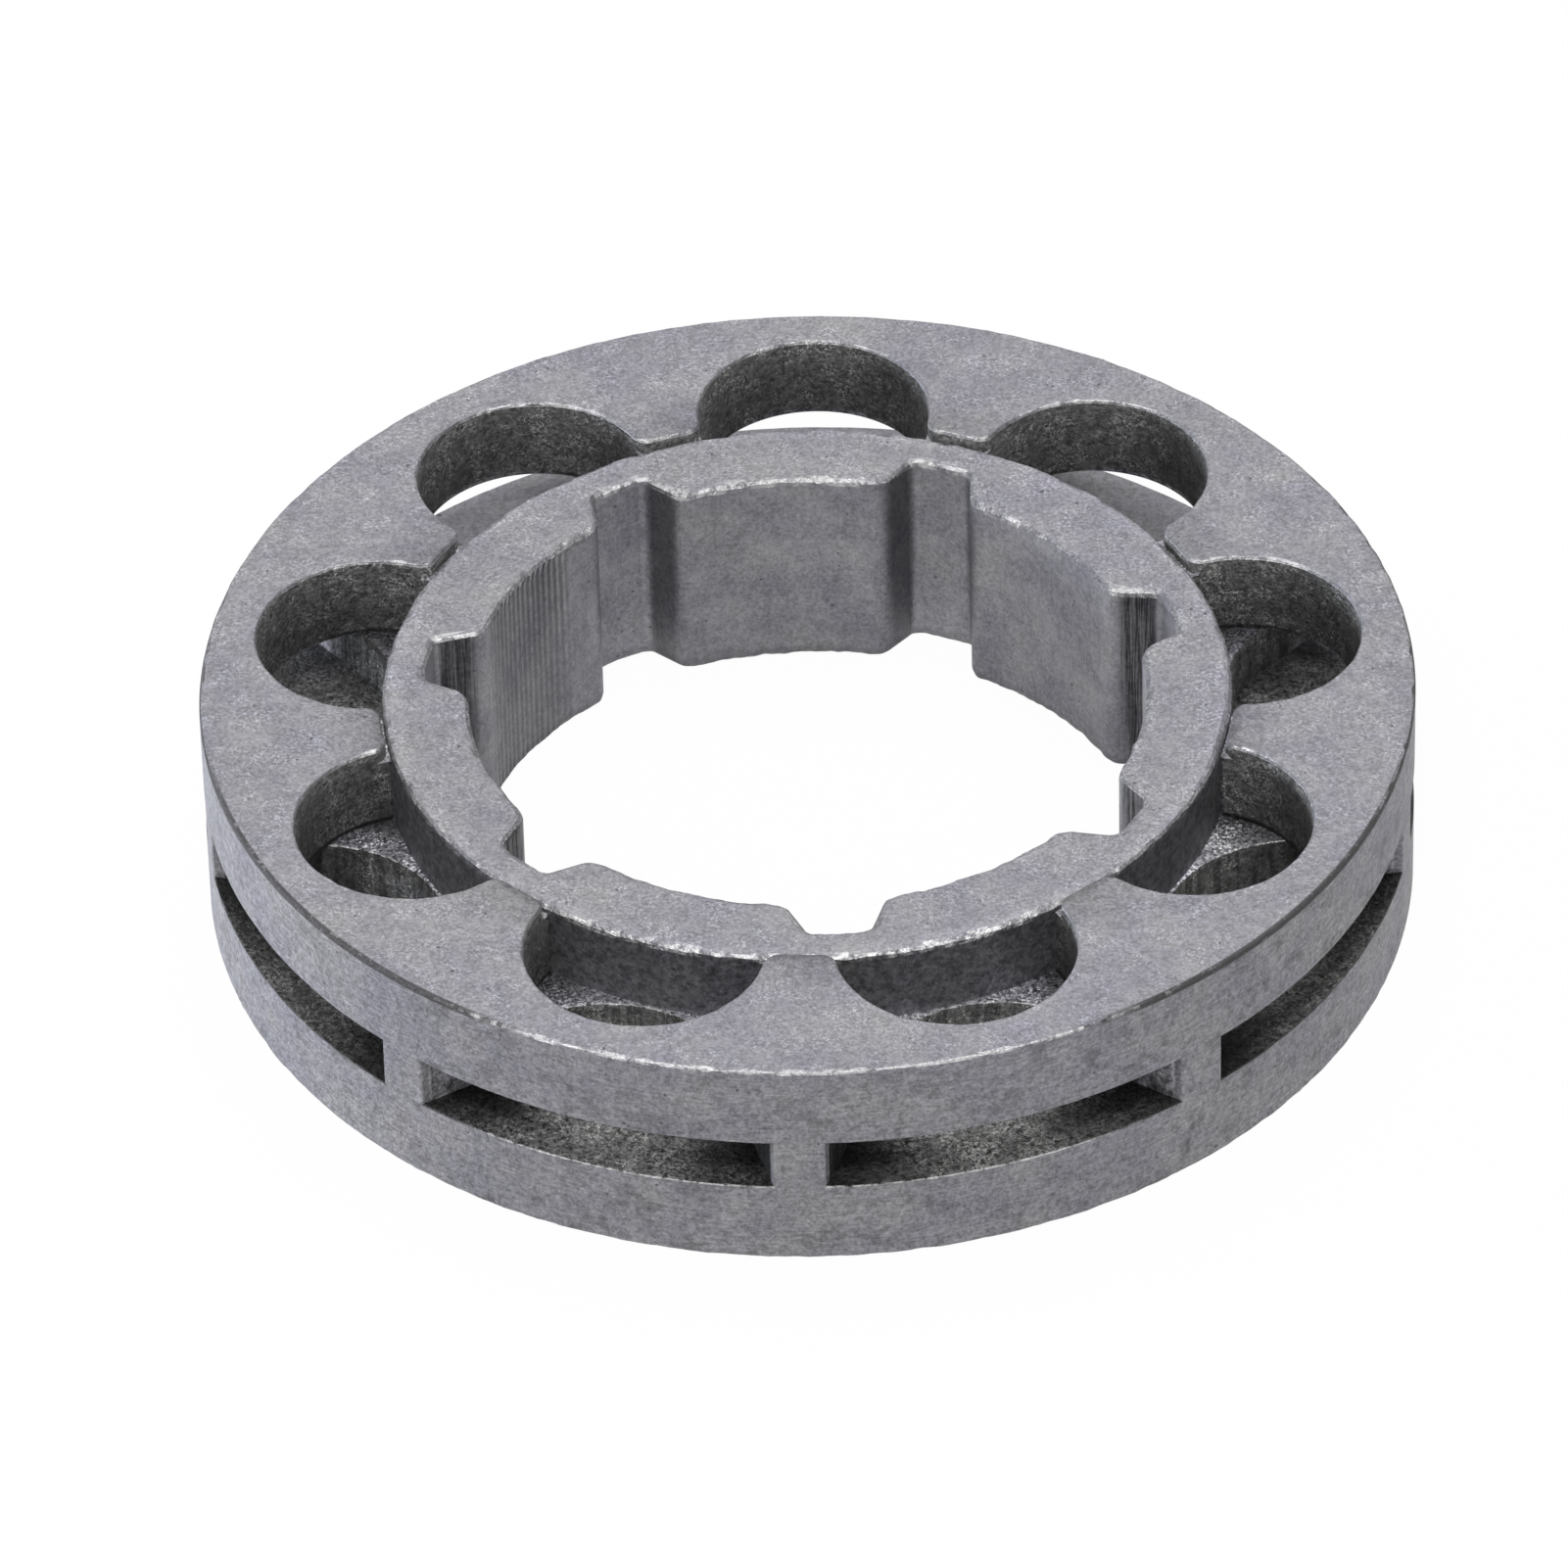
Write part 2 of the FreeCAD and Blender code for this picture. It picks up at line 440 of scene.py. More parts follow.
class TreeWriter:
    """Adds nodes to a tree: settings first, then the values or links of the sockets."""

    def __init__(self, tree):
        self.tree = tree

    def add(self, kind, settings=None, inputs=None, output=0):
        node = self.tree.nodes.new(kind)
        for name, value in (settings or {}).items():
            setattr(node, name, value)
        for name, value in (inputs or {}).items():
            socket = node.inputs[name]
            if isinstance(value, Signal):
                self.tree.links.new(value.socket, socket)
            else:
                socket.default_value = value
        return Signal(self, node.outputs[output]) if node.outputs else None

    def output_of(self, signal, name):
        return Signal(self, signal.socket.node.outputs[name])

    def split(self, vector):
        """The X, Y and Z of a vector."""
        x = self.add("ShaderNodeSeparateXYZ", {}, {0: vector})
        return x, self.output_of(x, "Y"), self.output_of(x, "Z")

    def vector(self, x, y, z):
        return self.add("ShaderNodeCombineXYZ", {}, {0: x, 1: y, 2: z})

    def zigzag(self, value, peak):
        """Rises from 0 to the peak and falls back to 0, again and again."""
        return self.add("ShaderNodeMath", {"operation": "PINGPONG"}, {0: value, 1: peak})

    def noise(self, where, scale, detail, roughness):
        return self.add("ShaderNodeTexNoise", {},
                        {"Vector": where, "Scale": scale, "Detail": detail, "Roughness": roughness})

    def mix_colours(self, factor, first, second, blend="MIX"):
        """A colour mix; its sockets go by number, because its names repeat for each data type."""
        node = self.tree.nodes.new("ShaderNodeMix")
        node.data_type = "RGBA"
        node.blend_type = blend
        for place, value in ((0, factor), (6, first), (7, second)):
            if isinstance(value, Signal):
                self.tree.links.new(value.socket, node.inputs[place])
            elif place == 0:
                node.inputs[place].default_value = value
            else:
                node.inputs[place].default_value = (*value, 1)
        return Signal(self, node.outputs[2])


def new_material(name):
    material = bpy.data.materials.new(name)
    return material, emptied(material)


def emptied(owner):
    """A writer for the node tree of a material or a world, without the nodes it comes with."""
    owner.use_nodes = True
    owner.node_tree.nodes.clear()
    return TreeWriter(owner.node_tree)


# The steel. Each pair says between which two values a mask goes from 0 to 1 or back. Radii, heights
# and places are in millimetres.

LAND_RADII = (11.25, 11.7)
GROOVE_FLOOR_RADII = (12.3, 12.58)
BORE_RADII = (12.9, 13.1)
HUB_FACE_RADII = (13.2, 13.7)
HUB_WALL_RADII = (14.03, 14.08)
TIP_EDGE_RADII = (14.2, 14.55)
WEB_TIP_RADII = (14.4, 16.4)
POST_SIDE_RADII = (17.2, 18.4)
RIM_EDGE_RADII = (19.5, 19.7)
RIM_WALL_RADII = (19.6, 19.75)
BRINK_RADII = (19.79, 19.86)

LAND_SHADE_HEIGHTS = (0.0, 4.5)
BORE_MOUTH_HEIGHTS = (0.15, 0.6)
LOWER_EDGE_HEIGHTS = (0.3, 0.4)
FLOOR_HEIGHTS = (3.3, 3.6)
LEDGE_HEIGHTS = (4.0, 4.5)
ROOT_HEIGHTS = (4.6, 4.9)
GAP_HEIGHTS = (4.9, 5.0)
LIT_LEDGE_HEIGHTS = (5.0, 6.0)
WALL_SHADE_HEIGHTS = (5.0, 7.8)
HOLLOW_HEIGHTS = (7.3, 7.5)
HUB_FACE_HEIGHTS = (7.52, 7.58)
TIP_EDGE_HEIGHTS = (7.55, 7.65)
UPPER_FACE_HEIGHTS = (7.6, 7.7)
BRINK_HEIGHTS = (7.6, 7.68)
WALL_END_HEIGHTS = (7.66, 7.72)

# Places from the front (-Y) to the back, and to the sides from the middle, mostly where painted light
# and shade change
BRINK_PLACES = (-8, -2)
NEAR_TIP_PLACES = (-4, 2)
GAP_PLACES = (-4, 2)
SIDE_GAP_PLACES = (-2, 1)
FAR_EDGE_PLACES = (0, 5)
NEAR_LEDGE_PLACES = (2, 6)
TORN_PLACES = (5, 7)
FAR_FLOOR_PLACES = (5, 11)
SIDE_LEDGES = (6, 15)
SIDE_HUB_WALLS = (6, 10)
SIDE_GAPS = (8, 14)

# How far a surface rises, as its normal along Z, and how squarely it faces the front, from -1 to 1
WALL_RISES = (0.35, 0.6)
SLANT_FROM = (0.08, 0.3)
SLANT_TO = (0.9, 0.985)
LEVEL_RISES = (0.5, 0.8)
FRONT_SIDES = (0.4, 0.7)
LEFT_SIDES = (0.2, 0.8)
BRINK_TURNS = (0.82, 0.93)
BESIDE_POST_TURNS = (0.05, 0.28)            # radians from a post's middle

# The one land with broaching marks: its start and end as turns in radians, and the marks' half pitch
BROACHED_START = (2.35, 2.5)
BROACHED_END = (2.72, 2.86)
BROACH_HALF_PITCH = 0.145

# Noise patterns: the coordinates that they lie on, scale per millimetre, detail and roughness
NOISES = {
    "grain": ("mm", 8.5, 3.0, 0.65),
    "crumbs": ("mm", 3.4, 4.0, 0.68),
    "flakes": ("mm", 6.0, 2.5, 0.6),
    "sparks": ("mm", 15.0, 1.0, 0.5),
    "cloud": ("mm", 0.55, 4.0, 0.6),
    "blotch": ("mm", 0.17, 3.0, 0.6),
    "scuffs": ("mm", 0.75, 4.0, 0.7),
    "cluster": ("mm", 0.9, 3.0, 0.6),
    "pore_sizes": ("mm", 0.9, 2.0, 0.5),
    "brushed": ("around", 6.0, 3.0, 0.7),
    "drawn": ("upward", 5.5, 2.0, 0.6),
    "ridges": ("upward", 3.4, 2.0, 0.5),
}
PORES_PER_MM = 2.0
AROUND_STRETCH, UP_SQUEEZE = 0.2, 1.7       # turning marks run around the rim
UP_STRETCH = 0.06                           # drawn marks run up the bore


def surroundings(w, tooth_count):
    """Where a point lies, in millimetres, and which way it faces: signals by name."""
    place = w.add("ShaderNodeTexCoord", output="Object")
    at = SimpleNamespace()
    at.mm = w.add("ShaderNodeVectorMath", {"operation": "SCALE"}, {0: place, "Scale": 1 / MM})
    at.x, at.y, at.z = w.split(at.mm)
    at.sideways, deepways, at.rise = w.split(w.output_of(place, "Normal"))
    at.radius = (at.x * at.x + at.y * at.y) ** 0.5
    at.turn = at.y.math("ARCTAN2", at.y, at.x)
    at.along = at.turn * at.radius
    at.from_post = w.zigzag(at.turn + math.pi / 2, math.pi / tooth_count)
    level_part = (at.sideways * at.sideways + deepways * deepways) ** 0.5 + 0.001
    at.frontal = -deepways / level_part
    # Edges that face the front get a painted highlight and the others painted shade; the rim's edges
    # have to face the front more squarely than the others to count
    at.front = at.frontal.above(0.68 + at.radius.above(*RIM_EDGE_RADII) * 0.13, 0.93)
    return at


def surface_kinds(at):
    """Which kinds of surface a point is on: masks from 0 to 1 by name."""
    kind = SimpleNamespace()
    kind.upright = abs(at.rise).below(*WALL_RISES)
    kind.slanted = at.rise.above(*SLANT_FROM) * at.rise.below(*SLANT_TO)
    kind.rim_wall = kind.upright * at.radius.above(*RIM_WALL_RADII)
    kind.bore_wall = kind.upright * at.radius.below(*BORE_RADII)
    kind.land = kind.bore_wall * at.radius.below(*LAND_RADII)
    kind.flank = kind.bore_wall * (1 - kind.land) * at.radius.below(*GROOVE_FLOOR_RADII)
    kind.torn_flank = kind.flank * at.y.below(*TORN_PLACES)

    under_face = kind.upright * at.z.below(*WALL_END_HEIGHTS)
    deep = under_face.math("MAXIMUM", under_face, at.z.below(*HOLLOW_HEIGHTS))
    hollow = (1 - kind.rim_wall) * (1 - kind.bore_wall) * deep * at.z.above(*LOWER_EDGE_HEIGHTS)
    hollow_wall = hollow * kind.upright
    kind.level = hollow * at.rise.above(*LEVEL_RISES)
    kind.ledge = kind.level * at.z.above(*LEDGE_HEIGHTS)
    kind.hub_wall = hollow_wall * at.radius.below(*HUB_WALL_RADII)
    kind.root = hollow_wall * at.z.below(*ROOT_HEIGHTS)
    kind.post_side = (hollow_wall * at.z.below(*GAP_HEIGHTS) * at.radius.above(*POST_SIDE_RADII)
                      * at.frontal.above(*FRONT_SIDES))
    far_floor = kind.level * at.z.below(*FLOOR_HEIGHTS) * at.y.above(*FAR_FLOOR_PLACES)
    kind.rough = hollow - far_floor - kind.hub_wall - kind.post_side
    kind.rough_wall = kind.rough * kind.upright
    kind.gap = kind.rough * at.z.below(*GAP_HEIGHTS)

    kind.skin = (1 - kind.upright) * (1 - hollow)
    kind.web_tip = at.z.above(*UPPER_FACE_HEIGHTS) * at.radius.below(*WEB_TIP_RADII)
    kind.near_tip_edge = (at.z.above(*TIP_EDGE_HEIGHTS) * at.radius.below(*TIP_EDGE_RADII)
                          * at.y.below(*NEAR_TIP_PLACES))
    kind.hub_face = kind.skin * at.z.below(*HUB_FACE_HEIGHTS) * at.radius.above(*HUB_FACE_RADII)
    kind.rim_edge = kind.slanted * at.radius.above(*RIM_EDGE_RADII)
    # Painted shade along the edges that face away from the front, the rim's darkest, and along the
    # rim's top edge at the sides of the front
    kind.shaded_edge = kind.slanted * (1 - at.front) * (0.35 + kind.rim_edge * 0.6)
    beside_front = (-at.y / at.radius).below(*BRINK_TURNS) * at.y.below(*BRINK_PLACES)
    kind.brink = at.z.above(*BRINK_HEIGHTS) * at.radius.above(*BRINK_RADII) * beside_front
    return kind


def steel_patterns(w, at, kind):
    """The grain of the steel, the glints painted on its flakes and the marks of its tools: signals by
    name.
    """
    space = {"mm": at.mm,
             "around": w.vector(at.along * AROUND_STRETCH, at.z * UP_SQUEEZE, at.radius),
             "upward": w.vector(at.x, at.y, at.z * UP_STRETCH)}
    p = SimpleNamespace()
    for name, (where, *settings) in NOISES.items():
        setattr(p, name, w.noise(space[where], *settings))
    p.speck = p.grain.above(0.3, 0.7) - 0.5
    p.crumb = p.crumbs.above(0.35, 0.65) - 0.5
    # Painted glints: bright specks of light along thin flakes and on sparks, in clusters
    thread = (1 - abs(p.flakes - 0.5) * 9).above(0.35, 0.95)
    bright = thread * p.grain.above(0.42, 0.6) * 0.75 + p.sparks.above(0.58, 0.7) * 0.5
    p.glint = bright * (0.22 + p.cluster.above(0.43, 0.62) * 1.1)
    pores = w.add("ShaderNodeTexVoronoi", {"feature": "F1"}, {"Vector": at.mm, "Scale": PORES_PER_MM})
    p.pit = (pores - p.pore_sizes.above(0.45, 0.8) * 0.13).below(0.02, 0.06)
    comb = w.zigzag(at.along + p.ridges * 0.12, BROACH_HALF_PITCH) / BROACH_HALF_PITCH
    p.broaching = kind.land * at.turn.above(*BROACHED_START) * at.turn.below(*BROACHED_END) * comb
    return p


def grain_and_glint_tone(kind, p):
    """How light each kind of surface is, around 1: its grain and the glints painted on its flakes,
    darker and with fewer glints at the webs' tips.
    """
    speck_part = p.speck * (0.44 + kind.rim_wall * 0.08)
    crumb_part = p.crumb * (0.24 + kind.rim_wall * 0.08)
    tone = 0.96 + speck_part + crumb_part
    tone = tone + (p.cloud.above(0.35, 0.65) - 0.5) * (0.1 + kind.bore_wall * 0.1)
    tone = tone - kind.skin * kind.web_tip * 0.2 + kind.skin * p.glint * (0.88 - kind.web_tip * 0.45)
    rough_grain = p.glint * 2.8 + p.crumb * (0.45 - kind.root * 0.15) + kind.level * p.speck * 0.9
    tone = tone + kind.rough * rough_grain + kind.hub_wall * (p.crumb * 0.5 + p.glint * 0.5)
    return tone + kind.post_side * (p.crumb * 0.7 + p.glint * 0.6 - 0.12)


def marks_and_painted_light(at, kind, p):
    """Shares by which marks, and light and shade painted by place, lighten the steel; below 0 they
    darken it.
    """
    side = abs(at.x)
    near_lit = (side + at.x * 0.15).above(*SIDE_LEDGES) * at.y.below(*NEAR_LEDGE_PLACES)
    return [
        # Turning marks and scuffs on the outer wall
        -kind.rim_wall * (p.brushed.above(0.35, 0.65) - 0.45) * 0.28,
        -kind.rim_wall * p.scuffs.above(0.54, 0.64) * 0.27,
        # Lands and flanks of the bore: painted shade on the lands, darker towards the bottom, and on
        # the flanks; the bore's walls darker at their lowest edge; drawn and broaching marks, and the
        # torn flanks' marks
        -kind.land * at.z.below(*LAND_SHADE_HEIGHTS) * 0.2,
        -kind.bore_wall * at.z.below(*BORE_MOUTH_HEIGHTS) * 0.3,
        -kind.bore_wall * p.drawn.above(0.5, 0.75) * 0.1,
        -p.broaching * 0.42,
        -kind.flank * 0.5,
        -kind.torn_flank * (p.drawn.above(0.4, 0.55) * 0.45 + p.crumb * 0.5),
        # Painted light and shade on the walls of the pockets, link roots and windows: lighter at the
        # top, darker as they go down and to the left. Painted shade on the hub's wall, less near the
        # middle; streaks on the link roots, which are painted lighter on the whole
        kind.rough_wall * (0.5 - at.z.below(*WALL_SHADE_HEIGHTS) * 0.6),
        -kind.rough_wall * (-at.sideways).above(*LEFT_SIDES) * 0.42,
        -kind.hub_wall * (0.5 - side.below(*SIDE_HUB_WALLS) * 0.14),
        -kind.root * (p.ridges.above(0.42, 0.58) - 0.8) * 0.7,
        # Painted shade in the rooms of the links: darker beside the posts, at the far side and at both
        # sides, and painted light in the middle between the posts
        -kind.gap * (at.from_post.below(*BESIDE_POST_TURNS) * 0.95 - 0.17),
        -kind.gap * at.y.above(*GAP_PLACES) * (0.34 - kind.root * 0.3),
        -kind.gap * side.above(*SIDE_GAPS) * at.y.below(*SIDE_GAP_PLACES) * (0.42 - kind.root * 0.34),
        # Painted light with glints on the ledges in the near side pockets, painted shade on the webs'
        # near ends and painted light on the hub's face
        kind.ledge * at.z.below(*LIT_LEDGE_HEIGHTS) * near_lit * (1.0 + p.glint * 2.4),
        -kind.near_tip_edge * 0.35,
        kind.hub_face * 0.14,
    ]


def edge_wear_and_highlight(at, kind, p):
    """A mask of the rubbed steel along the edges that face the front, which also paints their
    highlight.
    """
    far = at.y.above(*FAR_EDGE_PLACES)
    strength = 1 - kind.rim_edge * 0.25 - far * 0.3
    broken = (p.crumbs + kind.rim_edge * 0.07 + far * 0.06).above(0.41, 0.6)
    return kind.slanted * at.front * strength * broken


def steel_colour(w, at, kind, p, colours):
    """The colour before the rubbed edges and their painted highlight: mottled steel with light and
    shade painted by place, painted shade in the hollows and along edges turned from the front, and dark
    pits.
    """
    mottling = (p.cloud * 0.6 + p.blotch * 0.4).above(0.35, 0.65)
    colour = w.mix_colours(mottling, tuple(colours.cool), tuple(colours.warm))
    # Painted shade in the hollows: their rough walls and floors take the hollow-shade colour, the
    # ledges little of it
    colour = w.mix_colours(kind.rough * (1 - kind.ledge * 0.85), colour, tuple(colours.hollow_shade))
    tone = grain_and_glint_tone(kind, p)
    for change in marks_and_painted_light(at, kind, p):
        tone = tone * (1 + change)
    grey = w.add("ShaderNodeCombineColor", {}, {0: tone, 1: tone, 2: tone})
    colour = w.mix_colours(1.0, colour, grey, "MULTIPLY")
    # Pores, and painted shade along the edges turned away from the front and along the rim's top edge
    # at the sides, in the pit colour
    dark = p.pit * 0.75 + kind.shaded_edge + kind.brink * p.crumbs.above(0.34, 0.46) * 0.95
    return w.mix_colours(dark.clamped(), colour, tuple(colours.pit))


def steel_relief(w, kind, p):
    """The relief of the skin that is too fine for the mesh."""
    lumpy = kind.rough + kind.post_side
    height = p.grain * 0.35 * (1 - kind.bore_wall * 0.6)
    height = height + p.crumbs * (0.55 + lumpy * 1.1) * (1 - kind.bore_wall * 0.75)
    height = height + kind.skin * p.glint * 0.5 - p.pit * 0.9 + kind.slanted * p.crumbs * 1.2
    height = height - kind.rim_wall * p.brushed * 0.5 + kind.bore_wall * p.drawn * 0.25
    height = height + p.broaching * 2.2 + kind.torn_flank * p.drawn * 3.0
    height = height + (kind.root - kind.root * kind.post_side) * p.ridges * 1.8
    return w.add("ShaderNodeBump", {}, {"Strength": 0.6, "Distance": 0.12 * MM, "Height": height})


def sintered_steel(colours, tooth_count):
    """Pressed and sintered steel: a flaky grain with painted glints on the flat faces, rough pockets
    darkened by painted shade, smooth lands with drawn marks and a turned outer wall, and light and
    shade painted by place, with a painted highlight on the edges that face the front."""
    material, w = new_material("sintered_steel")
    at = surroundings(w, tooth_count)
    kind = surface_kinds(at)
    p = steel_patterns(w, at, kind)
    # Rubbed edges, with a painted highlight where they face the front
    wear_and_highlight = edge_wear_and_highlight(at, kind, p)
    colour = w.mix_colours(wear_and_highlight * 0.75, steel_colour(w, at, kind, p, colours), tuple(colours.wear_and_highlight))
    shader = w.add("ShaderNodeBsdfPrincipled", {}, {
        "Base Color": colour,
        "Metallic": 0.6 + wear_and_highlight * 0.35,
        "Roughness": 0.5 + p.grain * 0.12 - wear_and_highlight * 0.2 - kind.bore_wall * 0.05,
        "Normal": steel_relief(w, kind, p)})
    w.add("ShaderNodeOutputMaterial", {}, {"Surface": shader})
    return material


# Building and rounding the mesh, in metres

NEAR = 0.02 * MM                        # heights and radii this close count as the same
WALL_REACH = 0.05 * MM                  # from the rim's wall to an edge that counts as on it
BORE_SIDE = 13.0 * MM                   # what is further in belongs to the bore
FLAT_ANGLE = math.radians(0.2)          # faces that bend less become one
SHARP_ANGLE = math.radians(25)          # edges that bend more are shaded as edges and may be rounded
ROUNDING_REACH = 1.1                    # how far a rounding's unevenness reaches, over its size
LONG_WEAR, SHORT_WEAR = 0.7 * MM, 0.3 * MM
SHORT_WEAR_SHARE = 0.6
WEAR_SEED = 1                           # without a seed the noise changes from run to run
FLAT_NORMAL, WALL_NORMAL = 0.999, 0.05  # a face's normal along Z, when it is flat or a wall


def tree_with(name, inputs):
    """An empty geometry tree: its writer, and its inputs as signals by name."""
    tree = bpy.data.node_groups.new(name, "GeometryNodeTree")
    tree.is_modifier = True
    tree.interface.new_socket("Geometry", in_out="INPUT", socket_type="NodeSocketGeometry")
    for label, kind in inputs:
        tree.interface.new_socket(label, in_out="INPUT", socket_type=kind)
    tree.interface.new_socket("Geometry", in_out="OUTPUT", socket_type="NodeSocketGeometry")
    w = TreeWriter(tree)
    source = w.add("NodeGroupInput")
    return w, {s.name: Signal(w, s) for s in source.socket.node.outputs if s.name}


def repeated(w, sector, count, turn):
    """A sector count times around Z, the first one turned by turn."""
    points = w.add("GeometryNodePoints", {}, {"Count": count})
    index = w.add("GeometryNodeInputIndex")
    angle = index * (math.tau / count) + turn
    rotation = w.vector(0, 0, angle)
    return w.add("GeometryNodeInstanceOnPoints", {},
                 {"Points": points, "Instance": sector, "Rotation": rotation})


def ring_tree():
    """The whole sprocket from its two sectors."""
    w, given = tree_with("sprocket_ring", [
        ("Hub Sector", "NodeSocketObject"), ("Teeth", "NodeSocketInt"), ("Rim Turn", "NodeSocketFloat"),
        ("Grooves", "NodeSocketInt"), ("Bore Turn", "NodeSocketFloat"),
        ("Weld Distance", "NodeSocketFloat"), ("Material", "NodeSocketMaterial")])
    hub = w.add("GeometryNodeObjectInfo", {}, {"Object": given["Hub Sector"]}, output="Geometry")
    rim_ring = repeated(w, given["Geometry"], given["Teeth"], given["Rim Turn"])
    hub_ring = repeated(w, hub, given["Grooves"], given["Bore Turn"])
    joined = w.add("GeometryNodeJoinGeometry")
    node = joined.socket.node
    w.tree.links.new(hub_ring.socket, node.inputs[0])
    w.tree.links.new(rim_ring.socket, node.inputs[0])
    real = w.add("GeometryNodeRealizeInstances", {}, {0: joined})
    welded = w.add("GeometryNodeMergeByDistance", {}, {0: real, "Distance": given["Weld Distance"]})
    coated = w.add("GeometryNodeSetMaterial", {}, {0: welded, "Material": given["Material"]})
    w.add("NodeGroupOutput", {}, {0: coated})
    return w.tree


def linked_object(name, mesh):
    made = bpy.data.objects.new(name, mesh)
    bpy.context.scene.collection.objects.link(made)
    return made


def grown(source, tree, values):
    """The plain mesh that a tree makes of an object, with its inputs given by name."""
    modifier = source.modifiers.new("tree", "NODES")
    modifier.node_group = tree
    for item in tree.interface.items_tree:
        if item.item_type == "SOCKET" and item.in_out == "INPUT" and item.name in values:
            modifier[item.identifier] = values[item.name]
    return evaluated_mesh(source)


def evaluated_mesh(source):
    bpy.context.view_layer.update()
    graph = bpy.context.evaluated_depsgraph_get()
    mesh = bpy.data.meshes.new_from_object(source.evaluated_get(graph), depsgraph=graph)
    source.modifiers.clear()
    return mesh


def is_ceiling(edge):
    return any(face.normal.z < -0.5 for face in edge.link_faces)


def rounding_of(edge, sizes, edges):
    """The size of the rounding of an edge that stands out, or 0 where it stays sharp."""
    rim, top = sizes.rim_diameter / 2, sizes.rim_height
    floor = sizes.lower_flange
    ceiling = floor + sizes.link_gap
    low, high = sorted(vertex.co.z for vertex in edge.verts)
    radius = ((edge.verts[0].co + edge.verts[1].co) / 2).xy.length
    at_wall = radius > rim - WALL_REACH
    if high - low >= NEAR:
        return edges.window_edge if at_wall else 0
    if at_wall and (low < NEAR or low > top - NEAR):
        return edges.rim_edge
    if radius < BORE_SIDE:
        return edges.bore_edge
    if abs(low - (top - sizes.hub_drop)) < NEAR:
        return edges.hub_edge
    if low > top - NEAR:
        return edges.web_edge
    if abs(low - ceiling) < NEAR and radius < rim - NEAR and is_ceiling(edge):
        return 0
    return edges.window_edge if min(abs(low - floor), abs(low - ceiling)) < NEAR else 0


def mark_edges(mesh, sizes, edges):
    """Gives each edge that is to be rounded its share of the widest rounding, which it returns."""
    widest = max(edges.rim_edge, edges.hub_edge, edges.bore_edge, edges.web_edge, edges.window_edge)
    bm = bmesh.new()
    bm.from_mesh(mesh)
    bmesh.ops.dissolve_limit(bm, angle_limit=FLAT_ANGLE, verts=bm.verts, edges=bm.edges)
    weight = bm.edges.layers.float.new("bevel_weight_edge")
    for edge in bm.edges:
        if len(edge.link_faces) != 2:
            raise RuntimeError("the ring isn't closed at " + str(edge.verts[0].co))
        bend = edge.calc_face_angle_signed()
        if abs(bend) > SHARP_ANGLE:
            edge.smooth = False
        if bend >= SHARP_ANGLE:
            edge[weight] = rounding_of(edge, sizes, edges) / widest
    bm.to_mesh(mesh)
    bm.free()
    return widest


def rounding_near(place, sizes, edges):
    """The size of the rounding that a point belongs to."""
    radius, height = place.xy.length, place.z
    rim, top = sizes.rim_diameter / 2, sizes.rim_height
    if radius > rim - edges.rim_edge * ROUNDING_REACH:
        at_face = min(height, top - height) < edges.rim_edge * ROUNDING_REACH
        return edges.rim_edge if at_face else edges.window_edge
    if radius < BORE_SIDE:
        return edges.bore_edge
    if height > top - edges.web_edge * ROUNDING_REACH:
        return edges.web_edge
    at_hub_face = height > top - sizes.hub_drop - edges.hub_edge * ROUNDING_REACH
    if at_hub_face and radius < sizes.hub_diameter / 2 + NEAR:
        return edges.hub_edge
    return edges.window_edge * 0.5


def wear_edges(mesh, sizes, edges):
    """Makes the roundings slightly uneven. Flat faces stay flat and turned walls stay round."""
    noise.seed_set(WEAR_SEED)
    bm = bmesh.new()
    bm.from_mesh(mesh)
    bm.normal_update()
    for vertex in bm.verts:
        rises = [abs(face.normal.z) for face in vertex.link_faces]
        short = noise.noise_vector(vertex.co / SHORT_WEAR) * SHORT_WEAR_SHARE
        push = noise.noise_vector(vertex.co / LONG_WEAR) + short
        push = push * rounding_near(vertex.co, sizes, edges) * edges.unevenness
        if max(rises) > FLAT_NORMAL:
            push.z = 0
        if min(rises) < WALL_NORMAL:
            push.x = push.y = 0
        vertex.co += push
        vertex.co.z = min(max(vertex.co.z, 0), sizes.rim_height)
        vertex.co.xy *= min(sizes.rim_diameter / 2 / vertex.co.xy.length, 1)
    bm.to_mesh(mesh)
    bm.free()


def rounded(piece, sizes, edges):
    """Rounds the marked edges and sets the shading of flat and turned faces."""
    bevel = piece.modifiers.new("edges", "BEVEL")
    bevel.limit_method = "WEIGHT"
    bevel.width = mark_edges(piece.data, sizes, edges)
    bevel.segments = 3
    bevel.use_clamp_overlap = False
    bevel.harden_normals = False
    piece.modifiers.new("triangles", "TRIANGULATE")
    piece.data = evaluated_mesh(piece)
    wear_edges(piece.data, sizes, edges)
    smooth = piece.modifiers.new("normals", "WEIGHTED_NORMAL")
    smooth.keep_sharp = True
    piece.data = evaluated_mesh(piece)


